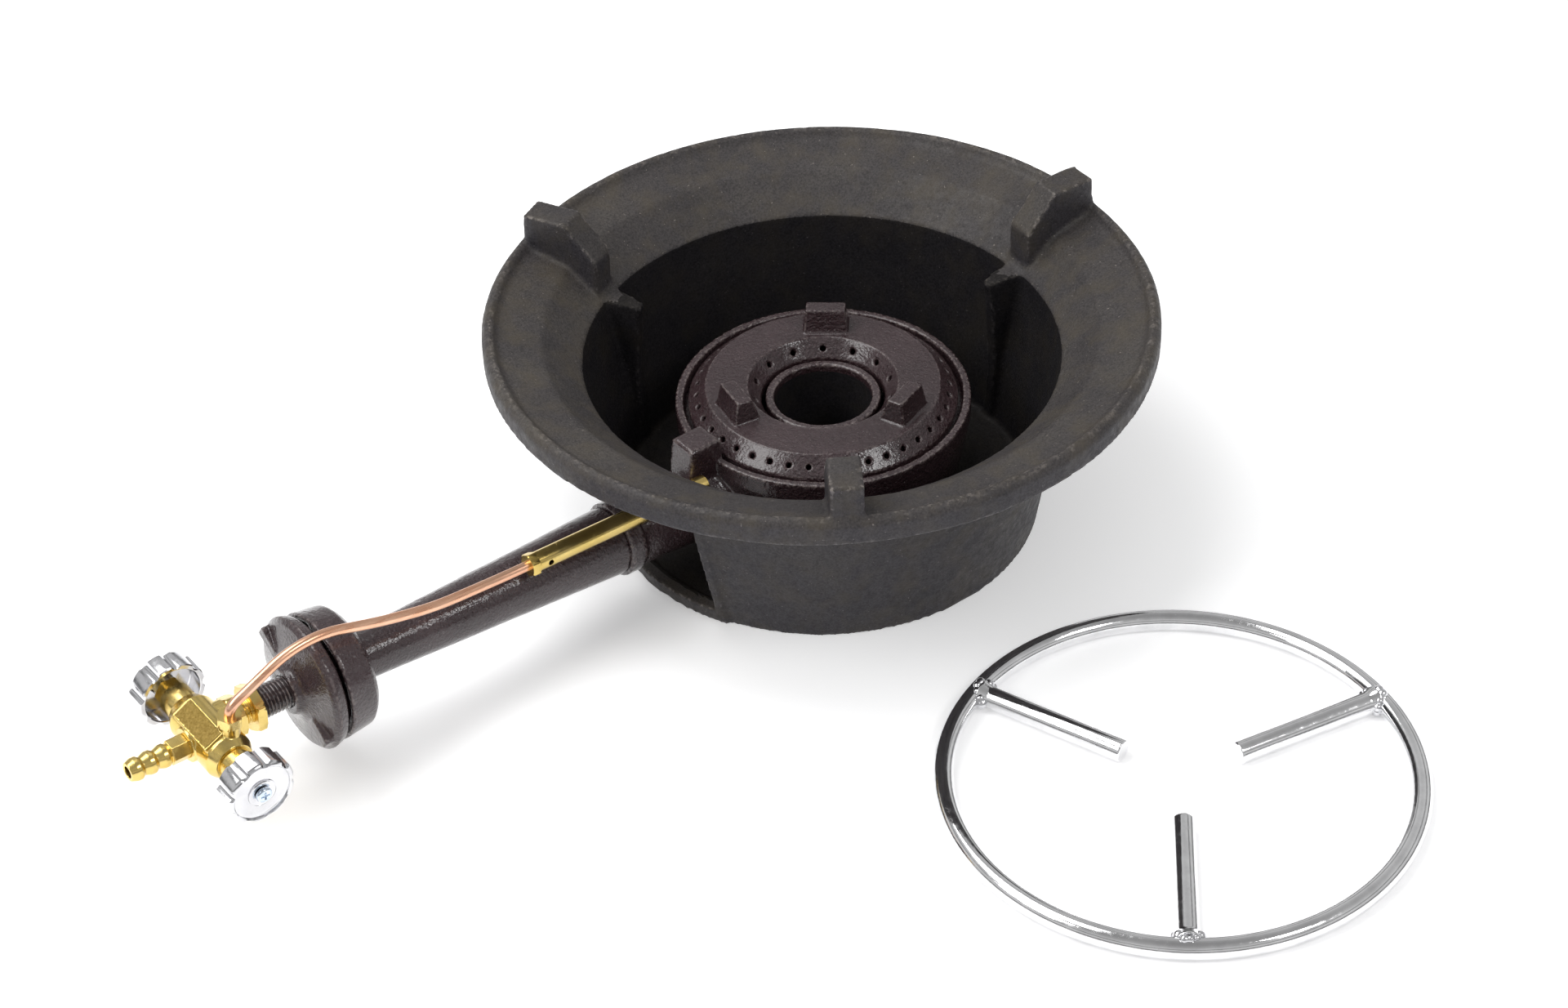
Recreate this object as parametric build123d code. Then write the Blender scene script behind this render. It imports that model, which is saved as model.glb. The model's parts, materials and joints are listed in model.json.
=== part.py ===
from build123d import *
from math import atan2, cos, degrees, pi, radians, sin, sqrt, tan
import os

# Wok burner: a cast stand, a gas burner with a lift-off cap, a mixing tube with an air shutter,
# a double needle valve with two knobs, a pilot burner and a loose wok ring.
# Lengths are in mm. Origin: centre of the underside of the drum floor. +Z is up.
# The mixing tube runs along -X.

# Fits
slip_fit = 0.05
running_fit = 0.08
free_gap = 0.3
drill_over = 1.0
overlap = 1.0

# Stand: a bowl with three pan lugs on a tapered drum with a floor and a door
rim_radius = 170.0
rim_top = 121.0
rim_lip_height = 14.0
rim_lip_wall = 5.5
bead_width = 8.5
bead_rise = 2.8
bead_points = ((0.7, 0.25), (0.5, 0.0), (0.25, 0.25), (0.0, 1.4))
bowl_knee_radius = 140.5
bowl_knee_height = 111.3
throat_radius = 121.0
throat_height = 95.0
cast_wall = 6.0
knee_thinning = 2.0
throat_flare = 6.6
drum_top = 86.0
drum_base_radius = 110.0
floor_thickness = 6.0
door_half_angle = 22.5
door_sill = 8.0
door_head = 78.0
door_frame_width = 5.0
door_frame_proud = 2.0

lug_count = 3
lug_start_angle = -4.2
lug_width = 16.0
lug_height = 16.0
lug_top_inner_radius = 141.0
lug_top_outer_radius = 165.0
lug_foot_spread = 2.0
lug_shoulder_rise = 22.5
lug_shoulder_overhang = 3.0
ledge_width = 14.0
ledge_tip_width = 6.0
ledge_reach = 18.0
ledge_tip_drop = 2.0
ledge_tip_thickness = 5.0
rib_foot_height = 40.0
rib_foot_depth = 5.0

# Burner: an annular cup round a chimney, on three feet
cup_radius = 75.4
cup_wall = 4.0
cup_top = 67.1
cup_shoulder_height = 58.0
cup_floor_radius = 62.0
cup_underside = 19.0
cup_floor_thickness = 6.0
cup_flank_radius = 70.0
cup_flank_height = 29.0
cap_seat_radius = 64.0
cap_seat_height = 59.5
cap_seat_edge = 2.5
chimney_bore = 25.0
chimney_wall = 4.4
foot_count = 3
foot_radius = 7.0
foot_circle = 50.0
foot_start_angle = 60.0
boss_width = 17.0
boss_depth = 18.0
boss_foot_depth = 23.0
boss_rise = 12.0
boss_drop = 25.0
boss_rounding = 2.0

# Cap: a ring bridging the cup, with flame holes on both slopes and three lugs
cap_top = 75.0
cap_flat_inner_radius = 38.4
cap_flat_outer_radius = 59.8
cap_wall = 4.0
cap_spigot_depth = 5.0
cap_edge = 1.0
cap_inner_gap = 2.2
cap_outer_gap = 2.6
cap_slope_drop = 1.5
cap_lug_count = 3
cap_lug_start_angle = 49.3
cap_lug_circle = 48.2
cap_lug_length = 14.5
cap_lug_width = 23.0
cap_lug_top_circle = 48.8
cap_lug_top_length = 8.0
cap_lug_top_width = 20.5
cap_lug_height = 12.0
inner_hole_count = 14
outer_hole_count = 40
inner_hole_radius = 1.6
outer_hole_radius = 1.5
inner_hole_tilt = -45.0
outer_hole_tilt = 40.0

# Mixing tube and its line
tube_rise = 2.6
tube_axis_height = 37.1
neck_start = 56.0
neck_radius = 20.5
collar_radius = 19.3
collar_length = 9.0
collar_end = 136.0
socket_radius = 15.0
socket_depth = 14.0
gas_way_radius = 12.0
tube_large_radius = 17.6
tube_small_radius = 11.8
throat_bore = 8.4
bell_back = 288.0
bell_depth = 19.0
bell_back_radius = 31.0
bell_mouth_radius = 32.5
bell_wall = 3.2
bell_shoulder = 3.0
bell_shoulder_depth = 5.0
bell_fillet = 2.0
bell_throat_flare = 4.0
spider_count = 3
spider_arm_width = 6.0
spider_depth = 9.0
spider_hub_radius = 12.5
spider_start_angle = 90.0

# Air shutter on the nozzle holder
air_gap = 2.0
shutter_radius = 34.0
shutter_back_radius = 33.0
shutter_edge = 7.0
shutter_rounding = 1.5
shutter_shoulder_radius = 31.5
shutter_face_radius = 20.0
shutter_face_rise = 3.0
shutter_dome = 5.0
shutter_hub_radius = 12.5
shutter_hub_length = 4.0
shutter_grip_count = 2
shutter_grip_angle = 145.0
shutter_grip_inner = 18.0
shutter_grip_outer = 32.0
shutter_grip_width = 7.0
shutter_grip_rise = 4.5
shutter_out = 8.0
holder_radius = 8.0
holder_inside = 12.0
holder_length = 45.5
holder_bore = 4.0
jet_hex = 10.0
jet_length = 10.0
jet_stem = 8.0
jet_orifice = 0.6
jet_tip_wall = 2.0

# Outlet adapter and its lock nut, both brass
adapter_hex = 22.0
adapter_hex_length = 4.8
adapter_thread_radius = 7.3
adapter_socket_floor = 6.0
lock_nut_hex = 19.0
lock_nut_length = 6.0

# Gas valve, measured from the crossing of the tube line and the spindle line.
# Its reach is the distance of that crossing from the end of the nozzle holder.
valve_reach = 27.7
valve_turn = 3.7
body_radius = 12.0
body_end_radius = 9.6
body_back = 15.3
body_front = 27.1
body_taper = 5.0
inlet_shift = 4.5
outlet_boss_radius = 10.0
outlet_boss_length = 12.2
inlet_boss_radius = 8.6
inlet_boss_length = 12.5
pad_shift = 6.0
pad_length = 29.4
pad_width = 11.6
pad_tilt = 28.5
pad_height = 13.2
chamber_radius = 5.0
seat_half_depth = 3.6
seat_bore = 2.6
main_way_radius = 2.4
main_way_offset = 6.0
inlet_way_radius = 2.3
pilot_way_radius = 1.2

# One valve spindle set, used at both ends of the body
bonnet_radius = 8.2
bonnet_length = 11.0
bonnet_spigot = 5.0
bonnet_neck_radius = 5.0
bonnet_neck_length = 4.0
packing_depth = 3.0
packing_radius = 4.2
gland_hex = 13.0
gland_cap = 1.6
spindle_radius = 3.0
spindle_tip_radius = 1.6
spindle_tip_length = 2.0
disc_radius = 4.2
disc_length = 3.6
knob_radius = 17.5
knob_depth = 12.5
knob_face_wall = 3.0
knob_skirt_wall = 2.8
knob_hub_radius = 5.5
knob_hub_gap = 1.0
knob_flutes = 9
flute_radius = 3.2
flute_bite = 1.3
knob_back_reach = 1.2
knob_recess_radius = 12.5
knob_recess_depth = 0.8
knob_chamfer = 1.2
screw_shank_radius = 1.6
screw_head_radius = 4.0
screw_head_height = 2.2
screw_length = 9.0
screw_slot_width = 1.0
screw_slot_depth = 1.1
screw_slot_length = 4.4
screw_seat_margin = 2.0
screw_crown = 1.3

# Hose barb
barb_crest_radius = 5.8
barb_valley_radius = 4.6
barb_flat = 11.0
barb_flat_length = 9.0
barb_length = 30.4
barb_crests = 3
barb_crest_land = 2.2
barb_rise_share = 0.25
barb_bore = 3.0
barb_spigot = 5.0
barb_spigot_radius = 5.5

# Pilot line: nut, copper pipe, brass pilot burner
pilot_outlet_x = 2.3
pilot_outlet_z = 18.6
pilot_outlet_tilt = 4.0
pilot_boss_radius = 5.0
pilot_boss_reach = 16.3
pilot_nut_hex = 11.0
pilot_nut_length = 5.0
pipe_radius = 2.5
pipe_bore = 1.7
pipe_entry = 3.0
pilot_side = 13.9
pilot_above = 20.8
pilot_tip = 88.0
pilot_tube_length = 102.0
pilot_tube_radius = 5.0
pilot_tube_bore = 4.0
pilot_inlet_hex = 11.0
pilot_inlet_length = 4.5
pilot_air_hole_radius = 1.5
pilot_air_hole_station = 6.0
pilot_jet_length = 4.0
pilot_jet_orifice = 0.4
saddle_width = 6.0

# The pipe's corners, from the valve to the pilot burner: past the bell's mouth, to the front, above the tube line
pipe_corner_points = [(14.6, 17.1, 42.7), (-29.8, 17.5, 30.6), (-57.9, 16.3, 24.2)]
pipe_last_run = 17.0
pipe_lead_in = 9.5
arc_share = 0.45

# Wok ring, loose on the table beside the stand
ring_radius = 112.0
ring_rod_radius = 5.2
ring_spokes = 3
ring_spoke_start_angle = -11.5
ring_spoke_inner_radius = 31.0
ring_centre_x = -7.4
ring_centre_y = -276.8
ring_spoke_radius = 5.6
weld_radius = 7.4
weld_depth = 5.0

# Derived lines and frames
rise = radians(tube_rise)
tube_direction = Vector(-cos(rise), 0, sin(rise))
tube_up = Vector(sin(rise), 0, cos(rise))
tube_front = Vector(0, -1, 0)
tube_origin = Vector(0, 0, tube_axis_height)
tube_frame = Plane(origin=tube_origin, x_dir=tube_front, z_dir=tube_direction)

bell_mouth = bell_back + bell_depth
shutter_back = bell_mouth + air_gap
holder_start = bell_mouth - holder_inside
holder_end = holder_start + holder_length
valve_station = holder_end + valve_reach

valve_twist = radians(valve_turn)
valve_centre = tube_origin + tube_direction * valve_station
valve_axis = tube_front * cos(valve_twist) - tube_up * sin(valve_twist)
valve_frame = Plane(origin=valve_centre, x_dir=-tube_direction, z_dir=valve_axis)

seat_back = inlet_shift - seat_half_depth
seat_front = inlet_shift + seat_half_depth


def wall_inner_radius(height):
    base_inner = drum_base_radius - cast_wall
    return base_inner + (throat_radius - base_inner) * height / throat_height


def turned(points):
    # A solid of revolution about Z from (radius, height) points.
    outline = Polyline([(radius, 0, height) for radius, height in points], close=True)
    return revolve(make_face(outline.edges()), Axis.Z)


def plate(points, width):
    # A flat piece in the XZ plane, centred on Y.
    outline = Polyline([(radius, 0, height) for radius, height in points], close=True)
    return extrude(make_face(outline.edges()), amount=width / 2, dir=(0, 1, 0), both=True)


def wedge(points, root_radius, root_width, tip_radius, tip_width):
    # A flat piece that narrows towards the axis.
    sides = Polyline([
        (root_radius, -root_width / 2),
        (root_radius, root_width / 2),
        (tip_radius, tip_width / 2),
        (tip_radius, -tip_width / 2),
    ], close=True)
    heights = [height for radius, height in points]
    column = extrude(Pos(0, 0, min(heights)) * make_face(sides.edges()), amount=max(heights) - min(heights))
    return plate(points, 2 * root_width) & column


def rod(radius, start, end):
    return Pos(0, 0, start) * Cylinder(radius, end - start, align=(Align.CENTER, Align.CENTER, Align.MIN))


def hexagon(flats, start, end):
    outline = RegularPolygon(flats / 2, 6, major_radius=False)
    return Pos(0, 0, start) * extrude(outline, amount=end - start)


def block(x_range, y_range, z_range):
    size = [high - low for low, high in (x_range, y_range, z_range)]
    low_corner = Align.MIN
    return Pos(x_range[0], y_range[0], z_range[0]) * Box(*size, align=(low_corner, low_corner, low_corner))


def around(shape, count, start_angle):
    return [Rot(0, 0, start_angle + index * 360 / count) * shape for index in range(count)]


def on_tube(shape):
    return tube_frame.location * shape


def on_valve(shape):
    return valve_frame.location * shape


def tube_point(station, front, above):
    return tube_origin + tube_direction * station + tube_front * front + tube_up * above


# Stand
def stand_bowl():
    inner_at_drum = wall_inner_radius(drum_top)
    bead_inner = rim_radius - bead_width
    bead_side = rim_top - bead_rise
    slope = (bead_side - bowl_knee_height) / (bead_inner - bowl_knee_radius)
    lip_inner = rim_radius - rim_lip_wall
    under_lip = bead_side + slope * (lip_inner - bead_inner) - cast_wall - bead_rise
    bowl = turned([
        (inner_at_drum, drum_top),
        (throat_radius, throat_height),
        (bowl_knee_radius, bowl_knee_height),
        (bead_inner, bead_side - bead_rise / 2),
        (bead_inner + bead_rise / 2, bead_side),
        *[(rim_radius - bead_width * inward, rim_top - bead_rise * drop) for inward, drop in bead_points],
        (rim_radius, rim_top - rim_lip_height),
        (lip_inner, rim_top - rim_lip_height),
        (lip_inner, under_lip),
        (bowl_knee_radius + knee_thinning, bowl_knee_height - cast_wall),
        (throat_radius + throat_flare, throat_height - cast_wall / 2),
        (inner_at_drum + cast_wall, drum_top),
    ])
    shoulder_radius = throat_radius + lug_shoulder_overhang
    shoulder_height = throat_height + lug_shoulder_rise
    lug = plate([
        (throat_radius + cast_wall / 2, throat_height - cast_wall / 2),
        (shoulder_radius, throat_height),
        (shoulder_radius, shoulder_height),
        (lug_top_inner_radius, rim_top + lug_height),
        (lug_top_outer_radius, rim_top + lug_height),
        (lug_top_outer_radius + lug_foot_spread, rim_top - 2 * bead_rise),
        (bowl_knee_radius, bowl_knee_height - cast_wall / 2),
    ], lug_width)
    ledge_root = throat_radius + cast_wall / 2
    ledge_tip = throat_radius - ledge_reach
    rib_slope = (ledge_reach - rib_foot_depth) / (throat_height - ledge_tip_thickness - rib_foot_height)
    rib_here = ledge_tip + rib_slope * (throat_height - ledge_tip_thickness - drum_top)
    ledge = wedge([
        (ledge_root, throat_height),
        (throat_radius, throat_height),
        (ledge_tip, throat_height - ledge_tip_drop),
        (ledge_tip, throat_height - ledge_tip_thickness),
        (rib_here, drum_top),
        (inner_at_drum + cast_wall / 2, drum_top),
    ], ledge_root, ledge_width, ledge_tip, ledge_tip_width)
    for piece in around(lug, lug_count, lug_start_angle) + around(ledge, lug_count, lug_start_angle):
        bowl += piece
    return bowl


def stand_drum():
    inner_at_drum = wall_inner_radius(drum_top)
    inner_at_floor = wall_inner_radius(floor_thickness)
    outer_at_drum = inner_at_drum + cast_wall
    drum = turned([
        (0, 0),
        (drum_base_radius, 0),
        (outer_at_drum, drum_top),
        (inner_at_drum, drum_top),
        (inner_at_floor, floor_thickness),
        (0, floor_thickness),
    ])
    door_half_width = drum_base_radius * sin(radians(door_half_angle))
    frame_half_width = door_half_width + door_frame_width
    frame_top = door_head + door_frame_width
    frame_shell = turned([
        (drum_base_radius - cast_wall / 2, 0),
        (drum_base_radius + door_frame_proud, 0),
        (outer_at_drum + door_frame_proud, drum_top),
        (outer_at_drum - cast_wall / 2, drum_top),
    ])
    far_side = -2 * rim_radius
    drum += frame_shell & block((far_side, 0), (-frame_half_width, frame_half_width), (0, frame_top))
    ledge_tip = throat_radius - ledge_reach
    rib_top = throat_height - ledge_tip_thickness
    rib_slope = (ledge_reach - rib_foot_depth) / (rib_top - rib_foot_height)
    rib = wedge([
        (ledge_tip + rib_slope * (rib_top - drum_top), drum_top),
        (wall_inner_radius(rib_foot_height) - rib_foot_depth, rib_foot_height),
        (wall_inner_radius(floor_thickness) - overlap, floor_thickness + overlap),
        (wall_inner_radius(floor_thickness) + overlap, floor_thickness + overlap),
        (inner_at_drum + cast_wall / 2, drum_top),
    ], throat_radius + cast_wall / 2, ledge_width, ledge_tip, ledge_tip_width)
    for piece in around(rib, lug_count, lug_start_angle):
        drum += piece
    drum -= block((far_side, 0), (-door_half_width, door_half_width), (door_sill, door_head))
    return drum


# Burner
def burner_body():
    chimney_radius = chimney_bore + chimney_wall
    cup_inner = cup_radius - cup_wall
    floor_top = cup_underside + cup_floor_thickness
    body = turned([
        (chimney_radius, cup_underside),
        (cup_floor_radius, cup_underside),
        (cup_flank_radius, cup_flank_height),
        (cup_radius, cup_shoulder_height),
        (cup_radius, cup_top),
        (cup_inner, cup_top),
        (cup_inner, cap_seat_height),
        (cap_seat_radius, cap_seat_height),
        (cap_seat_radius, cap_seat_height - cap_seat_edge),
        (cup_inner, cap_seat_height - cap_seat_edge - (cup_inner - cap_seat_radius)),
        (cup_flank_radius - cup_wall, cup_flank_height + cup_wall / 2),
        (cup_floor_radius - cup_wall / 2, floor_top),
        (chimney_radius, floor_top),
    ])
    neck = turned([
        (0, neck_start),
        (neck_radius, neck_start),
        (tube_large_radius, collar_end - collar_length),
        (collar_radius, collar_end - collar_length),
        (collar_radius, collar_end),
        (0, collar_end),
    ])
    neck = on_tube(neck) - rod(cap_seat_radius, floor_top, cup_top)
    neck -= rod(cup_inner - slip_fit, cap_seat_height, cup_top)
    boss_foot = Pos(-cup_inner - boss_foot_depth / 2 + overlap, 0, cup_top - boss_drop) * Rectangle(
        boss_foot_depth + 2 * overlap, boss_width)
    boss_head = Pos(-cup_inner - boss_depth / 2 + overlap, 0, cup_top + boss_rise) * Rectangle(
        boss_depth + 2 * overlap, boss_width)
    boss = loft([boss_foot.face(), boss_head.face()])
    boss -= rod(cup_inner, cup_underside, cup_top + boss_rise + drill_over)
    boss = fillet(boss.edges().group_by(Axis.Z)[-1], boss_rounding)
    foot = Pos(foot_circle, 0, 0) * rod(foot_radius, floor_thickness, cup_underside + cup_wall / 2)
    body += neck
    body += boss
    for piece in around(foot, foot_count, foot_start_angle):
        body += piece
    saddle_reach = sqrt(pilot_side ** 2 + pilot_above ** 2)
    saddle_angle = degrees(pilot_angle())
    saddle = block(
        (collar_radius - 2 * overlap, saddle_reach - pilot_tube_radius - free_gap),
        (-saddle_width / 2, saddle_width / 2),
        (collar_end - collar_length, collar_end),
    )
    body += on_tube(Rot(0, 0, saddle_angle) * saddle)
    body -= on_tube(rod(gas_way_radius, neck_start - drill_over, collar_end + drill_over))
    body -= on_tube(rod(socket_radius + slip_fit, collar_end - socket_depth, collar_end + drill_over))
    return body


def burner_chimney():
    chimney_radius = chimney_bore + chimney_wall
    return turned([
        (chimney_bore, cup_underside),
        (chimney_radius, cup_underside),
        (chimney_radius, cup_top),
        (chimney_bore, cup_top),
    ])


def pilot_angle():
    return atan2(pilot_above, pilot_side)


def burner_cap():
    chimney_radius = chimney_bore + chimney_wall
    cup_inner = cup_radius - cup_wall
    seat_inner = chimney_radius + cap_inner_gap
    seat_outer = cup_inner - cap_outer_gap
    underside = cup_top - cap_slope_drop
    cap = turned([
        (seat_inner, underside + cap_edge),
        (cap_flat_inner_radius, cap_top),
        (cap_flat_outer_radius, cap_top),
        (seat_outer, underside + cap_edge),
        (seat_outer, cap_seat_height + slip_fit),
        (seat_outer - cap_wall, cap_seat_height + slip_fit),
        (seat_outer - cap_wall, underside - cap_edge),
        (cap_flat_outer_radius - cap_edge, cap_top - cap_wall),
        (cap_flat_inner_radius + cap_edge, cap_top - cap_wall),
        (seat_inner + cap_wall, underside - cap_edge),
        (seat_inner + cap_wall, underside - cap_spigot_depth),
        (seat_inner, underside - cap_spigot_depth),
    ])
    lug_foot = Pos(cap_lug_circle, 0, cap_top - overlap) * Rectangle(cap_lug_length, cap_lug_width)
    lug_head = Pos(cap_lug_top_circle, 0, cap_top + cap_lug_height) * Rectangle(
        cap_lug_top_length, cap_lug_top_width)
    cap_lug = loft([lug_foot.face(), lug_head.face()])
    for piece in around(cap_lug, cap_lug_count, cap_lug_start_angle):
        cap += piece
    inner_slope_radius = (seat_inner + cap_flat_inner_radius) / 2
    outer_slope_radius = (seat_outer + cap_flat_outer_radius) / 2
    hole_height = (underside + cap_top) / 2
    long_drill = 4 * cap_wall
    inner_hole = Pos(inner_slope_radius, 0, hole_height) * Rot(0, inner_hole_tilt, 0) * Cylinder(inner_hole_radius, long_drill)
    outer_hole = Pos(outer_slope_radius, 0, hole_height) * Rot(0, outer_hole_tilt, 0) * Cylinder(outer_hole_radius, long_drill)
    cap -= around(inner_hole, inner_hole_count, 0)
    cap -= around(outer_hole, outer_hole_count, 0)
    return cap


# Mixing tube
def mixing_tube():
    tube = turned([
        (gas_way_radius, collar_end - socket_depth + free_gap),
        (socket_radius, collar_end - socket_depth + free_gap),
        (socket_radius, collar_end),
        (tube_large_radius, collar_end),
        (tube_small_radius, bell_back),
        (tube_small_radius + bell_fillet, bell_back + bell_fillet / 2),
        (bell_back_radius - bell_shoulder, bell_back + bell_fillet),
        (bell_back_radius, bell_back + bell_shoulder_depth),
        (bell_mouth_radius, bell_mouth),
        (bell_mouth_radius - bell_wall, bell_mouth),
        (bell_back_radius - bell_wall - bell_fillet / 2, bell_back + bell_shoulder_depth + bell_fillet),
        (throat_bore + bell_throat_flare, bell_back + bell_shoulder_depth),
        (throat_bore, bell_back),
    ])
    arm = block(
        (holder_radius + overlap, bell_mouth_radius - bell_wall + overlap),
        (-spider_arm_width / 2, spider_arm_width / 2),
        (bell_mouth - spider_depth, bell_mouth),
    )
    for piece in around(arm, spider_count, spider_start_angle):
        tube += piece
    tube += rod(spider_hub_radius, bell_mouth - spider_depth, bell_mouth)
    tube -= rod(holder_radius + slip_fit, bell_mouth - spider_depth - drill_over, bell_mouth + drill_over)
    return on_tube(tube)


def air_shutter():
    bore = holder_radius + running_fit
    edge_top = shutter_back + shutter_edge
    dome_top = edge_top + shutter_dome
    hub_top = dome_top + shutter_hub_length
    shutter = turned([
        (bore, shutter_back),
        (shutter_back_radius - shutter_rounding, shutter_back),
        (shutter_back_radius, shutter_back + shutter_rounding),
        (shutter_radius, edge_top - shutter_rounding),
        (shutter_shoulder_radius, edge_top + shutter_rounding / 2),
        (shutter_face_radius, edge_top + shutter_face_rise),
        (shutter_hub_radius + shutter_rounding, dome_top),
        (shutter_hub_radius, dome_top + shutter_rounding),
        (shutter_hub_radius - shutter_rounding / 2, hub_top),
        (bore, hub_top),
    ])
    grip = block(
        (shutter_grip_inner, shutter_grip_outer),
        (-shutter_grip_width / 2, shutter_grip_width / 2),
        (shutter_back + shutter_edge / 2, edge_top + shutter_grip_rise),
    )
    for piece in around(grip, shutter_grip_count, shutter_grip_angle):
        shutter += piece
    return on_tube(shutter)


def nozzle_holder():
    holder = rod(holder_radius, holder_start, holder_end)
    holder -= rod(holder_bore, holder_start + jet_stem, holder_end + drill_over)
    holder -= rod(holder_bore, holder_start - drill_over, holder_start + jet_stem + drill_over)
    return on_tube(holder)


def gas_jet():
    jet = hexagon(jet_hex, holder_start - jet_length, holder_start)
    jet += rod(holder_bore - slip_fit, holder_start, holder_start + jet_stem)
    jet -= rod(holder_bore / 2, holder_start - jet_length + jet_tip_wall, holder_start + jet_stem + drill_over)
    jet -= rod(jet_orifice, holder_start - jet_length - drill_over, holder_start)
    return on_tube(jet)


def outlet_adapter():
    start = holder_end
    adapter = hexagon(adapter_hex, start, start + adapter_hex_length)
    adapter += rod(holder_bore - slip_fit, start - jet_stem, start)
    thread_end = valve_station - adapter_socket_floor
    adapter += rod(adapter_thread_radius, start + adapter_hex_length, thread_end)
    adapter -= rod(holder_bore / 2, start - jet_stem - drill_over, thread_end + drill_over)
    return on_tube(adapter)


def lock_nut():
    end = valve_station - outlet_boss_length
    nut = hexagon(lock_nut_hex, end - lock_nut_length, end)
    nut -= rod(adapter_thread_radius + slip_fit, end - lock_nut_length - drill_over, end + drill_over)
    return on_tube(nut)


# Gas valve, drawn with X towards the burner, Y up and Z towards the front knob
def along_x(shape):
    return Rot(0, 90, 0) * shape


def pilot_outlet_frame():
    tilt = radians(pilot_outlet_tilt)
    return Plane(
        origin=(pilot_outlet_x, 0, pilot_outlet_z),
        x_dir=(0, 0, 1),
        z_dir=(sin(tilt), cos(tilt), 0),
    )


def valve_body():
    core = turned([
        (0, -body_back),
        (body_end_radius, -body_back),
        (body_radius, -body_back + body_taper),
        (body_radius, body_front - body_taper),
        (body_end_radius, body_front),
        (0, body_front),
    ])
    core += along_x(rod(outlet_boss_radius, 0, outlet_boss_length))
    inlet_line = Pos(0, 0, inlet_shift)
    core += inlet_line * along_x(rod(inlet_boss_radius, -inlet_boss_length, 0))
    pad = block((-pad_width / 2, pad_width / 2), (0, pad_height), (-pad_length / 2, pad_length / 2))
    core += Pos(0, 0, pad_shift) * Rot(0, 0, pad_tilt) * pad
    core += pilot_outlet_frame().location * rod(pilot_boss_radius, 0, pilot_boss_reach)
    core -= rod(chamber_radius, -body_back - drill_over, seat_back)
    core -= rod(chamber_radius, seat_front, body_front + drill_over)
    core -= rod(seat_bore, seat_back - drill_over, seat_front + drill_over)
    socket_floor = adapter_socket_floor - free_gap
    core -= along_x(rod(adapter_thread_radius + slip_fit, socket_floor, outlet_boss_length + drill_over))
    core -= Pos(0, 0, -main_way_offset) * along_x(rod(main_way_radius, 0, socket_floor + drill_over))
    spigot_floor = -inlet_boss_length + barb_spigot
    core -= inlet_line * along_x(rod(inlet_way_radius, -inlet_boss_length - drill_over, 0))
    core -= inlet_line * along_x(rod(barb_spigot_radius + slip_fit, -inlet_boss_length - drill_over, spigot_floor))
    core -= pilot_outlet_frame().location * rod(pilot_way_radius, 0, pilot_boss_reach + drill_over)
    return on_valve(core)


def hose_barb():
    start = inlet_boss_length
    flats_end = start + barb_flat_length
    ridge_pitch = (barb_length - barb_flat_length) / barb_crests
    barb = hexagon(barb_flat, start, flats_end)
    barb += rod(barb_spigot_radius, start - barb_spigot + free_gap, start)
    for index in range(barb_crests):
        ridge_start = flats_end + index * ridge_pitch
        ridge_end = ridge_start + ridge_pitch
        land_start = ridge_start + ridge_pitch * barb_rise_share
        barb += turned([
            (0, ridge_start),
            (barb_valley_radius, ridge_start),
            (barb_crest_radius, land_start),
            (barb_crest_radius, land_start + barb_crest_land),
            (barb_valley_radius, ridge_end),
            (0, ridge_end),
        ])
    barb -= rod(barb_bore, start - barb_spigot, start + barb_length + drill_over)
    return on_valve(Pos(0, 0, inlet_shift) * Rot(0, -90, 0) * barb)


# A spindle set is drawn with Z pointing out of the body, from the body's end
def bonnet():
    neck_start_height = bonnet_length
    neck_end = bonnet_length + bonnet_neck_length
    piece = rod(bonnet_radius, 0, neck_start_height)
    piece += rod(bonnet_neck_radius, neck_start_height, neck_end)
    piece += rod(chamber_radius - slip_fit, -bonnet_spigot, 0)
    piece -= rod(spindle_radius + running_fit, -bonnet_spigot - drill_over, neck_end + drill_over)
    piece -= rod(packing_radius, neck_end - packing_depth, neck_end + drill_over)
    return piece


def packing_ring():
    neck_end = bonnet_length + bonnet_neck_length
    ring = rod(packing_radius - slip_fit, neck_end - packing_depth, neck_end)
    return ring - rod(spindle_radius + slip_fit, neck_end - packing_depth - drill_over, neck_end + drill_over)


def gland_nut():
    neck_end = bonnet_length + bonnet_neck_length
    nut_start = bonnet_length + free_gap
    nut_end = neck_end + gland_cap + free_gap
    nut = hexagon(gland_hex, nut_start, nut_end)
    nut -= rod(bonnet_neck_radius + slip_fit, nut_start - drill_over, neck_end + free_gap)
    nut -= rod(spindle_radius + running_fit, neck_end, nut_end + drill_over)
    return nut


def knob_base():
    # The height where the knob's hub begins, just clear of the gland nut.
    return bonnet_length + bonnet_neck_length + gland_cap + free_gap + knob_hub_gap


def knob_face():
    return bonnet_length + knob_back_reach + knob_depth


def spindle(chamber_end):
    # The tip sits in the disc; the outer end stops inside the knob's hub.
    disc_back = -chamber_end + disc_length
    end = knob_face() - knob_face_wall
    piece = rod(spindle_radius, disc_back + free_gap, end)
    piece += rod(spindle_tip_radius, disc_back + free_gap - spindle_tip_length, disc_back + free_gap)
    piece -= rod(screw_shank_radius + slip_fit, knob_face() - screw_length - drill_over, end + drill_over)
    return piece


def valve_disc(chamber_end):
    front = -chamber_end + free_gap
    back = -chamber_end + disc_length
    disc = rod(disc_radius, front, back)
    return disc - rod(spindle_tip_radius + running_fit, back - spindle_tip_length, back + drill_over)


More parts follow.
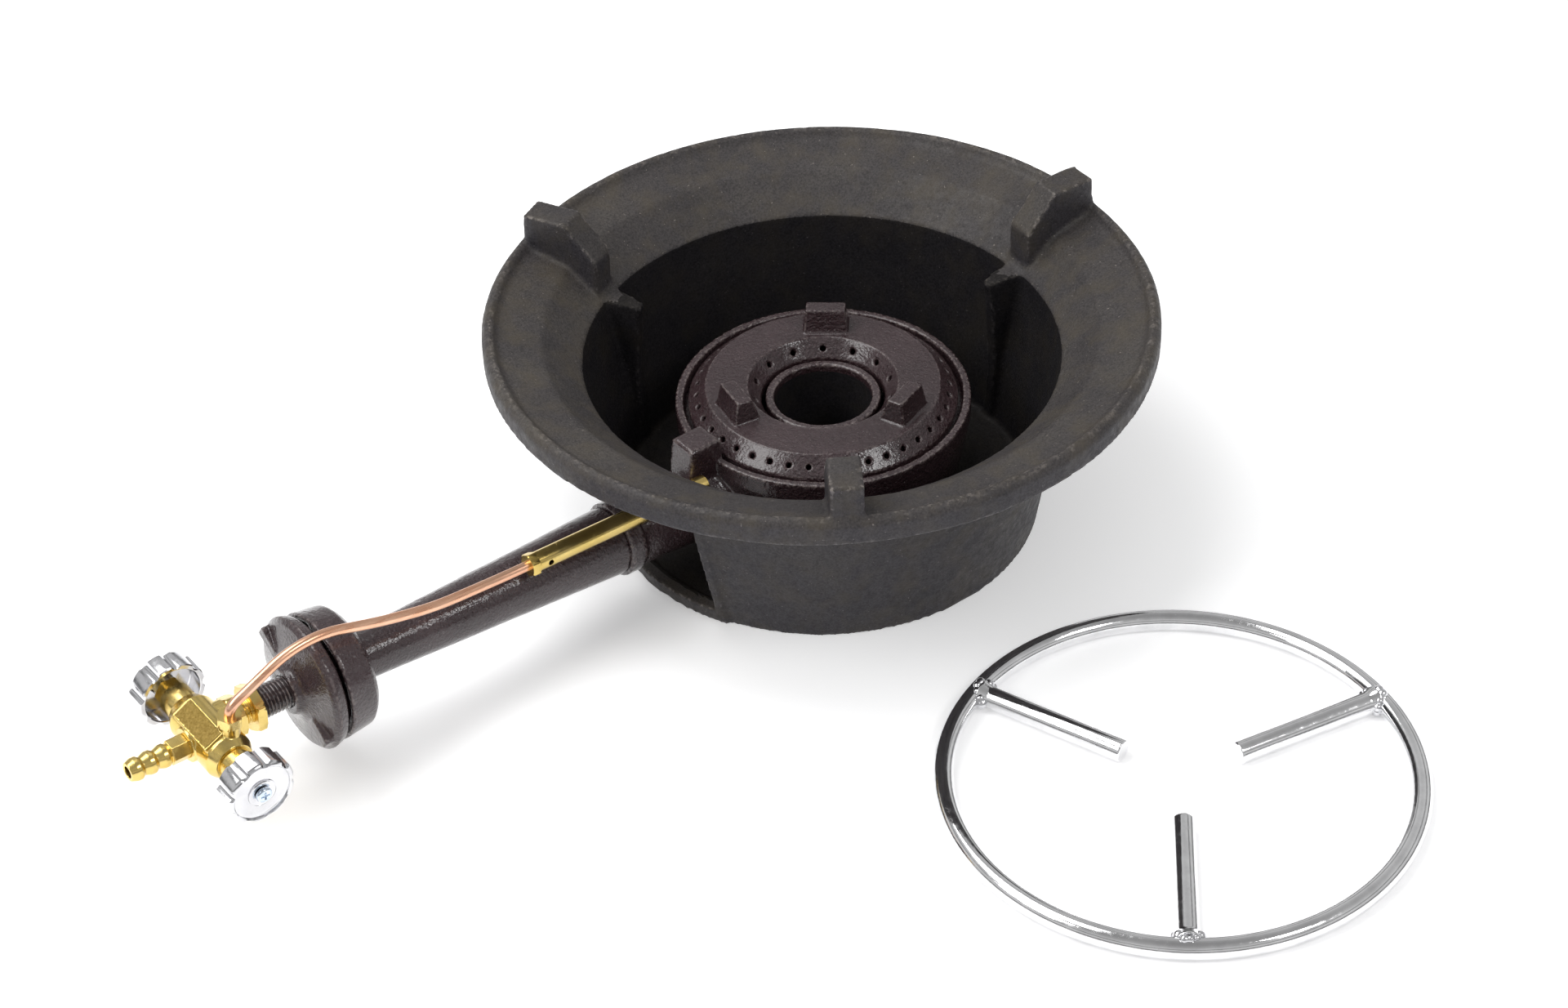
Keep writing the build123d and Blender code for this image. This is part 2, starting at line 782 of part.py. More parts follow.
def knob():
    face = knob_face()
    skirt_start = face - knob_depth
    shell = rod(knob_radius, skirt_start, face)
    shell = chamfer(shell.edges().group_by(Axis.Z)[-1], knob_chamfer)
    flute = Pos(knob_radius + flute_radius - flute_bite, 0, 0) * rod(flute_radius, skirt_start - drill_over, face + drill_over)
    shell -= around(flute, knob_flutes, 0)
    shell -= rod(knob_radius - knob_skirt_wall, skirt_start - drill_over, face - knob_face_wall)
    shell += rod(knob_hub_radius, knob_base(), face - knob_face_wall / 2)
    shell -= rod(spindle_radius + slip_fit, knob_base() - drill_over, face - knob_face_wall + slip_fit)
    shell -= rod(screw_shank_radius + slip_fit, face - knob_face_wall - drill_over, face + drill_over)
    rim_band = rod(knob_recess_radius, face - knob_recess_depth, face + drill_over)
    shell -= rim_band - rod(screw_head_radius + screw_seat_margin, face - knob_recess_depth - drill_over, face + drill_over)
    return shell


def knob_screw():
    face = knob_face()
    head = rod(screw_head_radius, face, face + screw_head_height)
    head = fillet(head.edges().group_by(Axis.Z)[-1], screw_crown)
    top = face + screw_head_height
    slot = Box(screw_slot_length, screw_slot_width, screw_slot_depth * 2)
    head -= Pos(0, 0, top) * (slot + Rot(0, 0, 90) * slot)
    return head + rod(screw_shank_radius, face - screw_length + free_gap, face)


def front_set(shape):
    return on_valve(Pos(0, 0, body_front) * shape)


def back_set(shape):
    return on_valve(Pos(0, 0, -body_back) * Rot(180, 0, 0) * shape)


# Pilot line
def pilot_nut():
    frame = pilot_outlet_frame().location
    nut = hexagon(pilot_nut_hex, pilot_boss_reach, pilot_boss_reach + pilot_nut_length)
    nut -= rod(pipe_radius + slip_fit, pilot_boss_reach - drill_over, pilot_boss_reach + pilot_nut_length + drill_over)
    return on_valve(frame * nut)


def pipe_route():
    local = pilot_outlet_frame()
    start_local = local.origin + local.z_dir * pilot_boss_reach
    lead_local = start_local + local.z_dir * pipe_lead_in
    start = valve_frame.from_local_coords(start_local)
    lead = valve_frame.from_local_coords(lead_local)
    end_station = pilot_tip + pilot_tube_length + pilot_inlet_length
    corners = [tube_point(bell_mouth + past, front, above) for past, front, above in pipe_corner_points]
    bend_out = tube_point(end_station - pipe_entry + pipe_last_run, pilot_side, pilot_above)
    end = tube_point(end_station - pipe_entry, pilot_side, pilot_above)
    return [start, lead] + corners + [bend_out, end]


def pilot_pipe():
    route = pipe_route()
    runs = [(route[index + 1] - route[index]) for index in range(len(route) - 1)]
    radii = []
    for before, after in zip(runs, runs[1:]):
        turn = radians(before.get_angle(after))
        radii.append(arc_share * min(before.length, after.length) / tan(turn / 2))
    print("pilot pipe radii", [round(radius, 1) for radius in radii])
    path = FilletPolyline(*route, radius=radii)
    section = Plane(origin=route[0], z_dir=runs[0])
    wall = section * (Circle(pipe_radius) - Circle(pipe_bore))
    pipe = sweep(wall, path=path)
    print("pilot pipe length", round(path.length, 1), "volume", round(pipe.volume, 1),
          "expected", round(path.length * pi * (pipe_radius ** 2 - pipe_bore ** 2), 1))
    return pipe


def pilot_line(shape):
    return on_tube(Pos(pilot_side, pilot_above, 0) * shape)


def pilot_burner():
    tube_end = pilot_tip + pilot_tube_length
    tube = rod(pilot_tube_radius, pilot_tip, tube_end)
    tube -= rod(pilot_tube_bore, pilot_tip - drill_over, tube_end + drill_over)
    hole = Pos(0, 0, tube_end - pilot_air_hole_station) * Rot(0, 90, 0) * Cylinder(
        pilot_air_hole_radius, 4 * pilot_tube_radius)
    return pilot_line(tube - hole)


def pilot_jet():
    tube_end = pilot_tip + pilot_tube_length
    jet = rod(pilot_tube_bore - slip_fit, tube_end - pilot_jet_length, tube_end)
    return pilot_line(jet - rod(pilot_jet_orifice, tube_end - pilot_jet_length - drill_over, tube_end + drill_over))


def pilot_inlet_nut():
    tube_end = pilot_tip + pilot_tube_length
    nut_end = tube_end + pilot_inlet_length
    nut = hexagon(pilot_inlet_hex, tube_end, nut_end)
    nut -= rod(pipe_radius + slip_fit, nut_end - pipe_entry - slip_fit, nut_end + drill_over)
    return pilot_line(nut - rod(pipe_bore, tube_end - drill_over, nut_end))


# Wok ring
def ring_place(shape):
    return Pos(ring_centre_x, ring_centre_y, ring_rod_radius) * shape


def ring_hoop():
    return ring_place(Torus(ring_radius, ring_rod_radius))


def ring_spoke():
    # A bar with a collar of weld metal where it meets the hoop. Both stand on the same floor as the hoop.
    spoke_end = ring_radius - ring_rod_radius / 2
    spoke = Pos(0, 0, ring_spoke_radius - ring_rod_radius) * along_x(
        rod(ring_spoke_radius, ring_spoke_inner_radius, spoke_end))
    weld = Pos(0, 0, ring_spoke_radius - ring_rod_radius) * along_x(Pos(0, 0, spoke_end - weld_depth) * Cone(
        ring_spoke_radius, weld_radius, weld_depth, align=(Align.CENTER, Align.CENTER, Align.MIN)))
    floor = block((0, ring_radius), (-ring_radius, ring_radius), (-2 * weld_radius, -ring_rod_radius))
    return spoke + (weld - floor) - Torus(ring_radius, ring_rod_radius + slip_fit)


def ring_spoke_set():
    return [ring_place(piece) for piece in around(ring_spoke(), ring_spokes, ring_spoke_start_angle)]


def write(name, shape):
    pieces = shape if isinstance(shape, list) else [shape]
    solids = [solid for piece in pieces for solid in piece.solids()]
    result = solids[0] if len(solids) == 1 else Compound(children=solids)
    result.label = name
    export_step(result, f"parts/{name}.step")
    print(name, len(solids), round(sum(solid.volume for solid in solids), 1))


def build():
    os.makedirs("parts", exist_ok=True)
    write("stand_bowl", stand_bowl())
    write("stand_drum", stand_drum())
    write("burner_body", burner_body())
    write("burner_chimney", burner_chimney())
    write("burner_cap", burner_cap())
    write("mixing_tube", mixing_tube())
    write("air_shutter", air_shutter())
    write("nozzle_holder", nozzle_holder())
    write("gas_jet", gas_jet())
    write("outlet_adapter", outlet_adapter())
    write("lock_nut", lock_nut())
    write("valve_body", valve_body())
    write("hose_barb", hose_barb())
    for name, place, chamber_end in (
        ("main", back_set, body_back + seat_back),
        ("pilot", front_set, body_front - seat_front),
    ):
        write(f"{name}_bonnet", place(bonnet()))
        write(f"{name}_packing_ring", place(packing_ring()))
        write(f"{name}_gland_nut", place(gland_nut()))
        write(f"{name}_spindle", place(spindle(chamber_end)))
        write(f"{name}_valve_disc", place(valve_disc(chamber_end)))
        write(f"{name}_knob", place(knob()))
        write(f"{name}_knob_screw", place(knob_screw()))
    write("pilot_nut", pilot_nut())
    write("pilot_pipe", pilot_pipe())
    write("pilot_burner", pilot_burner())
    write("pilot_jet", pilot_jet())
    write("pilot_inlet_nut", pilot_inlet_nut())
    write("ring_hoop", ring_hoop())
    write("ring_spokes", ring_spoke_set())


build()
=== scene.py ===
import bpy
import bmesh
import json
from math import asin, cos, pi, radians, sin, sqrt
from mathutils import Matrix, Vector
from mathutils import noise as random_field


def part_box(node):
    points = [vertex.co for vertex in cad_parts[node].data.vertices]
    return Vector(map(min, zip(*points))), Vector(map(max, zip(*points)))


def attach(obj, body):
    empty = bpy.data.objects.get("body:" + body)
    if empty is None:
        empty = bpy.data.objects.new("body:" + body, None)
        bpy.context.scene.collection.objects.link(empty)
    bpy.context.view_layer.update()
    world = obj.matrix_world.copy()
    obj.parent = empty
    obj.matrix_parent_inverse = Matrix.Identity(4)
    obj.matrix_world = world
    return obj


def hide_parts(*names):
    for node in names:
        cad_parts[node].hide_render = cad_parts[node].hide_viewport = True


# A wok burner dressed round its construction model. Lengths are in metres. The headings name the parts
# whose sizes are in millimetres instead.

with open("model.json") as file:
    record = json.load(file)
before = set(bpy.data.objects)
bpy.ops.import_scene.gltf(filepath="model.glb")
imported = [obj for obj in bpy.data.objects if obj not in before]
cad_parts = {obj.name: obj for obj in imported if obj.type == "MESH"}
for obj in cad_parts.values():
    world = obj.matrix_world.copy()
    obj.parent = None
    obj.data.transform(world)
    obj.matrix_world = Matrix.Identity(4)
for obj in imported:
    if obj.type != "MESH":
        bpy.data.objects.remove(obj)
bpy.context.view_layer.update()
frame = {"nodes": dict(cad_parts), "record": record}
MM = 0.001

# Camera: the photograph's own view, for an image of 1920 by 1234
IMAGE_WIDTH = 1920
FOCAL_PIXELS = 4305.5
SENSOR_MM = 36.0
CAMERA_PITCH = radians(38.94)
CAMERA_ROLL = radians(-2.31)
CAMERA_TURN = radians(-36.7)
CAMERA_SIDE = 22.03 * MM
CAMERA_DROP = -3.87 * MM
CAMERA_DISTANCE = 1834.0 * MM
CAMERA_REACH = 100


def make_camera():
    cos_roll, sin_roll = cos(CAMERA_ROLL), sin(CAMERA_ROLL)
    cos_pitch, sin_pitch = cos(CAMERA_PITCH), sin(CAMERA_PITCH)
    turn = Matrix.Rotation(CAMERA_TURN, 3, "Z")
    right = turn @ Vector((cos_roll, sin_roll * sin_pitch, sin_roll * cos_pitch))
    up = turn @ Vector((-sin_roll, cos_roll * sin_pitch, cos_roll * cos_pitch))
    forward = turn @ Vector((0, cos_pitch, -sin_pitch))
    place = -(CAMERA_SIDE * right - CAMERA_DROP * up + CAMERA_DISTANCE * forward)
    data = bpy.data.cameras.new("camera")
    data.sensor_width = SENSOR_MM
    data.lens = FOCAL_PIXELS / IMAGE_WIDTH * SENSOR_MM
    data.clip_end = CAMERA_REACH
    camera = bpy.data.objects.new("camera", data)
    axes = Matrix((right, up, -forward)).transposed()
    camera.matrix_world = Matrix.Translation(place) @ axes.to_4x4()
    bpy.context.scene.collection.objects.link(camera)
    bpy.context.scene.camera = camera


# Floor, surroundings and lamps
FLOOR_HALF = 6.0
FLOOR_COLOUR = (0.94, 0.94, 0.945, 1)
FLOOR_WHITE = 0.26
WHITE = (1, 1, 1, 1)
DAYLIGHT = 0.6
# What gloss reflects, by height: each pair is the upward part of the direction, and the brightness there
SKY_BANDS = (
    (0.0, 0.30), (0.10, 0.12), (0.22, 0.6), (0.42, 0.65), (0.50, 0.2), (0.60, 0.6), (0.80, 0.42), (1.0, 0.3),
)
# name, place, the point that it faces, width, watts
LAMPS = (
    ("above", (-0.45, 0.85, 2.1), (-0.05, 0, 0), 1.4, 23),
    ("left", (-1.45, 0.35, 1.5), (0, 0, 0.05), 0.9, 15),
    ("right", (0.35, -1.4, 1.6), (0, 0, 0.05), 0.5, 7.5),
)


# Sockets of a colour mix
MIX_SHARE = 0
MIX_FIRST = 6
MIX_SECOND = 7
MIX_RESULT = 2


def fill_ramp(ramp, stops):
    # Stops of a colour ramp: each is a position and either a colour or a grey level.
    elements = ramp.color_ramp.elements
    while len(elements) < len(stops):
        elements.new(0.5)
    for element, (position, colour) in zip(elements, stops):
        element.position = position
        value = colour if isinstance(colour, tuple) else (colour, colour, colour)
        element.color = (*value, 1)


def make_floor():
    mesh = bpy.data.meshes.new("floor")
    corners = [(-FLOOR_HALF, -FLOOR_HALF, 0), (FLOOR_HALF, -FLOOR_HALF, 0), (FLOOR_HALF, FLOOR_HALF, 0),
               (-FLOOR_HALF, FLOOR_HALF, 0)]
    mesh.from_pydata(corners, [], [(0, 1, 2, 3)])
    floor = bpy.data.objects.new("floor", mesh)
    bpy.context.scene.collection.objects.link(floor)
    surface = Surface("floor", roughness=0.6, specular=0.1)
    surface.shader.inputs["Base Color"].default_value = FLOOR_COLOUR
    surface.shader.inputs["Emission Color"].default_value = WHITE
    rays = surface.node("ShaderNodeLightPath")
    seen = surface.maths("MAXIMUM", rays.outputs["Is Camera Ray"], rays.outputs["Is Glossy Ray"])
    surface.link(surface.maths("MULTIPLY", seen, FLOOR_WHITE), surface.shader.inputs["Emission Strength"])
    mesh.materials.append(surface.material)


def make_world():
    # White to the camera, banded to gloss, and an even grey daylight to everything else.
    world = bpy.data.worlds.new("studio")
    bpy.context.scene.world = world
    world.use_nodes = True
    nodes = world.node_tree.nodes
    link = world.node_tree.links.new
    background = nodes["Background"]
    place = nodes.new("ShaderNodeTexCoord")
    split = nodes.new("ShaderNodeSeparateXYZ")
    bands = nodes.new("ShaderNodeValToRGB")
    fill_ramp(bands, SKY_BANDS)
    rays = nodes.new("ShaderNodeLightPath")
    glossy = nodes.new("ShaderNodeMix")
    glossy.data_type = "RGBA"
    glossy.inputs[MIX_FIRST].default_value = (DAYLIGHT, DAYLIGHT, DAYLIGHT, 1)
    camera = nodes.new("ShaderNodeMix")
    camera.data_type = "RGBA"
    camera.inputs[MIX_SECOND].default_value = WHITE
    link(place.outputs["Generated"], split.inputs[0])
    link(split.outputs["Z"], bands.inputs["Fac"])
    link(rays.outputs["Is Glossy Ray"], glossy.inputs[MIX_SHARE])
    link(bands.outputs["Color"], glossy.inputs[MIX_SECOND])
    link(rays.outputs["Is Camera Ray"], camera.inputs[MIX_SHARE])
    link(glossy.outputs[MIX_RESULT], camera.inputs[MIX_FIRST])
    link(camera.outputs[MIX_RESULT], background.inputs["Color"])
    background.inputs["Strength"].default_value = 1.0


def make_lamps():
    for name, place, aim, width, watts in LAMPS:
        data = bpy.data.lights.new(name, "AREA")
        data.size = width
        data.energy = watts
        lamp = bpy.data.objects.new(name, data)
        lamp.location = place
        direction = Vector(aim) - Vector(place)
        lamp.rotation_euler = direction.to_track_quat("-Z", "Y").to_euler()
        bpy.context.scene.collection.objects.link(lamp)


# Materials
class Surface:
    # A Principled material with a few short calls for building its node tree. Noise scales count features
    # per metre, and bump depths are in metres.

    def __init__(self, name, roughness=0.5, metallic=0.0, coat=0.0, coat_roughness=0.1, specular=0.5):
        self.material = bpy.data.materials.new(name)
        self.material.use_nodes = True
        self.tree = self.material.node_tree
        self.shader = self.tree.nodes["Principled BSDF"]
        self.shader.inputs["Roughness"].default_value = roughness
        self.shader.inputs["Metallic"].default_value = metallic
        self.shader.inputs["Coat Weight"].default_value = coat
        self.shader.inputs["Coat Roughness"].default_value = coat_roughness
        self.shader.inputs["Specular IOR Level"].default_value = specular
        self.place = self.node("ShaderNodeTexCoord").outputs["Object"]
        self.bump_out = None

    def node(self, kind, **settings):
        made = self.tree.nodes.new(kind)
        for key, value in settings.items():
            setattr(made, key, value)
        return made

    def link(self, source, target):
        self.tree.links.new(source, target)

    def noise(self, scale, detail=4.0, rough=0.55, stretch=None):
        made = self.node("ShaderNodeTexNoise")
        made.inputs["Scale"].default_value = scale
        made.inputs["Detail"].default_value = detail
        made.inputs["Roughness"].default_value = rough
        place = self.place
        if stretch is not None:
            mapping = self.node("ShaderNodeMapping")
            mapping.inputs["Scale"].default_value = stretch
            self.link(self.place, mapping.inputs["Vector"])
            place = mapping.outputs["Vector"]
        self.link(place, made.inputs["Vector"])
        return made.outputs["Fac"]

    def ramp(self, source, stops):
        made = self.node("ShaderNodeValToRGB")
        fill_ramp(made, stops)
        self.link(source, made.inputs["Fac"])
        return made.outputs["Color"]

    def mix(self, factor, first, second, blend="MIX"):
        made = self.node("ShaderNodeMix", data_type="RGBA", blend_type=blend)
        for number, value in ((MIX_SHARE, factor), (MIX_FIRST, first), (MIX_SECOND, second)):
            socket = made.inputs[number]
            if isinstance(value, (int, float)):
                socket.default_value = value if socket.type == "VALUE" else (value, value, value, 1)
            elif isinstance(value, tuple):
                socket.default_value = (*value, 1)
            else:
                self.link(value, socket)
        return made.outputs[MIX_RESULT]

    def times(self, first, second):
        return self.mix(1.0, first, second, "MULTIPLY")

    def maths(self, operation, first, second):
        made = self.node("ShaderNodeMath", operation=operation)
        for socket, value in zip(made.inputs, (first, second)):
            if isinstance(value, (int, float)):
                socket.default_value = value
            else:
                self.link(value, socket)
        return made.outputs[0]

    def edges(self, low, high):
        # Raised edges, from the surface's own pointiness.
        made = self.node("ShaderNodeNewGeometry")
        return self.ramp(made.outputs["Pointiness"], [(low, 0.0), (high, 1.0)])

    def upwards(self, stops):
        # A ramp over how far the surface faces up.
        made = self.node("ShaderNodeNewGeometry")
        split = self.node("ShaderNodeSeparateXYZ")
        self.link(made.outputs["Normal"], split.inputs[0])
        return self.ramp(split.outputs["Z"], stops)

    def colour(self, source):
        self.link(source, self.shader.inputs["Base Color"])

    def roughness(self, source):
        self.link(source, self.shader.inputs["Roughness"])

    def bump(self, source, depth, strength=1.0):
        made = self.node("ShaderNodeBump")
        made.inputs["Distance"].default_value = depth
        made.inputs["Strength"].default_value = strength
        self.link(source, made.inputs["Height"])
        if self.bump_out is not None:
            self.link(self.bump_out, made.inputs["Normal"])
        self.bump_out = made.outputs["Normal"]
        self.link(self.bump_out, self.shader.inputs["Normal"])

    def coat_bump(self, source, depth):
        # The clear coat's own ripple, which breaks its highlights up.
        made = self.node("ShaderNodeBump")
        made.inputs["Distance"].default_value = depth
        self.link(source, made.inputs["Height"])
        self.link(made.outputs["Normal"], self.shader.inputs["Coat Normal"])


IRON_TONES = [(0.3, (0.036, 0.034, 0.036)), (0.5, (0.047, 0.044, 0.045)), (0.7, (0.060, 0.056, 0.052))]
IRON_STAIN = (0.072, 0.062, 0.044)
IRON_CHIP = (0.28, 0.26, 0.24)
# Painted shade and light: upright faces darker and cooler, the ones that face up lighter and warmer
IRON_FACING_SHADE = [(0.15, (0.84, 0.82, 0.90)), (0.55, (0.98, 0.93, 0.90))]


def cast_iron(name="cast_iron", tone=1.0):
    # Bare grey-black iron with a sand-cast grain, faint stains, edge chips, and painted shade on upright
    # faces.
    surface = Surface(name, roughness=0.6, specular=0.3 * tone)
    blotch = surface.ramp(surface.noise(scale=22), IRON_TONES)
    grain = surface.ramp(surface.noise(scale=900, detail=3), [(0.32, 0.60), (0.62, 1.20)])
    base = surface.times(blotch, grain)
    stain = surface.ramp(surface.noise(scale=60, detail=6), [(0.45, 0.0), (0.68, 0.5)])
    base = surface.mix(stain, base, IRON_STAIN)
    chips = surface.ramp(surface.noise(scale=700, detail=1), [(0.74, 0.0), (0.78, 1.0)])
    broken = surface.ramp(surface.noise(scale=420), [(0.50, 0.0), (0.62, 1.0)])
    worn = surface.times(surface.edges(low=0.515, high=0.55), broken)
    marks = surface.mix(1.0, worn, chips, "SCREEN")
    base = surface.mix(surface.times(marks, 0.5), base, IRON_CHIP)
    # Painted shade: upright faces darker and cooler than the faces that look up
    base = surface.times(base, surface.upwards(IRON_FACING_SHADE))
    surface.colour(surface.times(base, tone))
    surface.roughness(surface.ramp(surface.noise(scale=250, detail=5), [(0.3, 0.42), (0.7, 0.68)]))
    surface.bump(surface.noise(scale=1400, detail=2), depth=0.00022, strength=0.55)
    surface.bump(surface.noise(scale=420, detail=5, rough=0.65), depth=0.0005, strength=0.5)
    return surface.material


# darkest tone, palest tone, roughness, orange peel
ENAMELS = {
    "burner_enamel": ((0.027, 0.014, 0.016), (0.044, 0.025, 0.028), 0.24, 0.9),
    "cap_enamel": ((0.027, 0.013, 0.015), (0.042, 0.023, 0.026), 0.24, 1.0),
    "black_iron": ((0.028, 0.018, 0.019), (0.048, 0.034, 0.036), 0.26, 0.25),
}
ENAMEL_SPECK = (0.16, 0.13, 0.13)
ENAMEL_WORN = (0.22, 0.18, 0.17)
RIPPLE_DEPTH = 0.00022


def enamel(name, low, high, rough, orange_peel):
    # Glossy dark paint over rough iron, from the tone low to high, thin along its edges.
    surface = Surface(name, roughness=rough, specular=0.25, coat=0.9, coat_roughness=0.1)
    blotch = surface.ramp(surface.noise(scale=35, detail=5), [(0.35, low), (0.65, high)])
    specks = surface.ramp(surface.noise(scale=800, detail=2), [(0.66, 0.0), (0.74, 0.6)])
    base = surface.mix(specks, blotch, ENAMEL_SPECK)
    broken = surface.ramp(surface.noise(scale=420), [(0.45, 0.0), (0.58, 1.0)])
    wear = surface.times(surface.edges(low=0.507, high=0.535), broken)
    surface.colour(surface.mix(surface.times(wear, 0.45), base, ENAMEL_WORN))
    sheen = [(0.35, rough - 0.10), (0.7, rough + 0.10)]
    surface.roughness(surface.ramp(surface.noise(scale=90, detail=5), sheen))
    surface.bump(surface.noise(scale=700, detail=2, rough=0.6), depth=0.0015, strength=orange_peel)
    surface.bump(surface.noise(scale=380, detail=3), depth=0.0016, strength=orange_peel * 0.6)
    surface.coat_bump(surface.noise(scale=620, detail=2, rough=0.6), depth=RIPPLE_DEPTH)
    return surface.material


BRASS_DEEP = (0.70, 0.51, 0.15)
BRASS_PALE = (0.80, 0.61, 0.23)
BRASS_ROUGHNESS = 0.2


def brass():
    surface = Surface("brass", roughness=BRASS_ROUGHNESS, metallic=1.0)
    surface.colour(surface.ramp(surface.noise(scale=60, detail=3), [(0.35, BRASS_DEEP), (0.68, BRASS_PALE)]))
    sheen = [(0.3, BRASS_ROUGHNESS - 0.03), (0.7, BRASS_ROUGHNESS + 0.08)]
    surface.roughness(surface.ramp(surface.noise(scale=300, detail=3), sheen))
    surface.bump(surface.noise(scale=2200, detail=2), depth=0.00002, strength=0.4)
    return surface.material


def etched_brass():
    surface = Surface("etched_brass", roughness=0.5, metallic=1.0)
    tones = [(0.35, (0.18, 0.12, 0.030)), (0.7, (0.30, 0.21, 0.065))]
    surface.colour(surface.ramp(surface.noise(scale=900, detail=4), tones))
    surface.bump(surface.noise(scale=2600, detail=3), depth=0.00012, strength=0.7)
    return surface.material


def copper():
    # Drawn pipe, with fine streaks along its length.
    surface = Surface("copper", roughness=0.3, metallic=1.0)
    along = (12, 300, 300)
    tones = [(0.35, (0.80, 0.42, 0.26)), (0.68, (0.90, 0.57, 0.40))]
    surface.colour(surface.ramp(surface.noise(scale=1, detail=4, stretch=along), tones))
    sheen = [(0.3, 0.22), (0.7, 0.36)]
    surface.roughness(surface.ramp(surface.noise(scale=1, detail=3, stretch=along), sheen))
    surface.bump(surface.noise(scale=1, detail=3, stretch=(40, 900, 900)), depth=0.00002, strength=0.5)
    return surface.material


CHROME_TINT = (0.86, 0.86, 0.87)
WORN_TINT = (0.74, 0.74, 0.76)
SMEAR_SHARE = 0.86
SMEAR_ROUGHNESS = 0.16


def chrome(name="chrome", rough=0.07, tint=CHROME_TINT):
    # Bright plating with dull smears.
    surface = Surface(name, roughness=rough, metallic=1.0)
    dull = tuple(SMEAR_SHARE * part for part in tint)
    surface.colour(surface.ramp(surface.noise(scale=60, detail=6), [(0.35, dull), (0.6, tint)]))
    sheen = [(0.45, rough), (0.75, rough + SMEAR_ROUGHNESS)]
    surface.roughness(surface.ramp(surface.noise(scale=300, detail=5), sheen))
    surface.bump(surface.noise(scale=220, detail=3), depth=0.00012, strength=0.35)
    return surface.material


def zinc():
    surface = Surface("zinc", roughness=0.22, metallic=1.0)
    tones = [(0.35, (0.50, 0.60, 0.72)), (0.7, (0.78, 0.84, 0.90))]
    surface.colour(surface.ramp(surface.noise(scale=400), tones))
    return surface.material


def steel():
    surface = Surface("spindle_steel", roughness=0.32, metallic=1.0)
    tones = [(0.35, (0.30, 0.29, 0.27)), (0.7, (0.50, 0.49, 0.46))]
    surface.colour(surface.ramp(surface.noise(scale=300), tones))
    return surface.material


def white_seal():
    surface = Surface("white_seal", roughness=0.5)
    tones = [(0.35, (0.70, 0.70, 0.67)), (0.7, (0.82, 0.82, 0.80))]
    surface.colour(surface.ramp(surface.noise(scale=200), tones))
    return surface.material


ETCHED = etched_brass()
KNOB_CHROME = chrome("knob_chrome", rough=0.12, tint=WORN_TINT)
WELD = chrome("weld_chrome", rough=0.16, tint=WORN_TINT)
# Darker iron for the deep insides: part soot, part painted shade where little light reaches
SOOT_AND_SHADE = cast_iron("soot_and_shade_iron", tone=0.36)
BY_SLOT = {
    "stand_iron": cast_iron(),
    **{name: enamel(name, *look) for name, look in ENAMELS.items()},
    "brass": brass(),
    "copper": copper(),
    "chrome": chrome(),
    "zinc_screw": zinc(),
    "spindle_steel": steel(),
    "packing": white_seal(),
}
SLOT_OF = {part["node"]: part["material_slot"] for part in frame["record"]["subparts"]}


def body_of_node(node):
    for body, members in frame["record"]["behaviour"]["bodies"].items():
        if node in members:
            return body
    raise KeyError(node)


def paint_frame():
    for name, piece in frame["nodes"].items():
        piece.data.materials.clear()
        piece.data.materials.append(BY_SLOT[SLOT_OF[name]])


# Cast skins: unevenness in features per metre
LUMP_SCALE = 28.0
RIPPLE_SCALE = 160.0
RIPPLE_SHARE = 0.35
PIT_SCALE = 420.0
PIT_LEVEL = 0.25


def applied(piece):
    # The piece's mesh with its modifiers made permanent.
    graph = bpy.context.evaluated_depsgraph_get()
    mesh = bpy.data.meshes.new_from_object(piece.evaluated_get(graph))
    piece.modifiers.clear()
    piece.data = mesh
    return mesh


def uneven(mesh, lumps, pits):
    # Gentle lumps and small pits along the normals of a mesh, all read before any point moves.
    places = [vertex.co.copy() for vertex in mesh.vertices]
    normals = [vertex.vector.copy() for vertex in mesh.vertex_normals]
    moved = []
    for place, normal in zip(places, normals):
        slow = random_field.noise(place * LUMP_SCALE) * lumps
        quick = random_field.noise(place * RIPPLE_SCALE) * lumps * RIPPLE_SHARE
        fine = max(0.0, random_field.noise(place * PIT_SCALE) - PIT_LEVEL) * pits
        moved.extend(place + normal * (slow + quick - fine))
    mesh.vertices.foreach_set("co", moved)
    mesh.update()


def joined_mesh(nodes):
    # One mesh of several nodes, which lie as they are in the construction model.
    joined = bmesh.new()
    for node in nodes:
        joined.from_mesh(frame["nodes"][node].data)
    mesh = bpy.data.meshes.new(nodes[0] + "_skin")
    joined.to_mesh(mesh)
    joined.free()
    return mesh


def dress(piece, node, material=None):
    # The piece gets its material, and rides with the node that it dresses.
    piece.data.materials.clear()
    piece.data.materials.append(material or BY_SLOT[SLOT_OF[node]])
    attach(piece, body_of_node(node))


def cast(node, voxel, rounding, lumps=0.0, pits=0.0, joined_to=(), keep=1.0):
    # A casting's skin: the node remeshed, its corners rounded, its faces gently uneven. Sizes are in
    # millimetres, and keep is the share of faces that stays.
    nodes = (node, *joined_to)
    piece = bpy.data.objects.new(node + "_skin", joined_mesh(nodes))
    bpy.context.scene.collection.objects.link(piece)
    remesh = piece.modifiers.new("remesh", "REMESH")
    remesh.mode = "VOXEL"
    remesh.voxel_size = voxel * MM
    remesh.use_smooth_shade = True
    smooth = piece.modifiers.new("smooth", "SMOOTH")
    smooth.factor = 0.5
    smooth.iterations = rounding
    if keep < 1.0:
        fewer = piece.modifiers.new("fewer", "DECIMATE")
        fewer.ratio = keep
    mesh = applied(piece)
    uneven(mesh, lumps * MM, pits * MM)
    mesh.shade_smooth()
    dress(piece, node)
    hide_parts(*nodes)
    return piece


# Soot and painted shade inside the stand, and darker iron in the chimney's bore
THROAT_HEIGHT = 94.3 * MM
WALL_BASE_RADIUS = 104.0 * MM
WALL_THROAT_RADIUS = 121.0 * MM
WALL_MARGIN = 2.0 * MM
FLOOR_TOP = 6.5 * MM
CHIMNEY_RADIUS = 30.0 * MM
CHIMNEY_LIP = 4.0 * MM


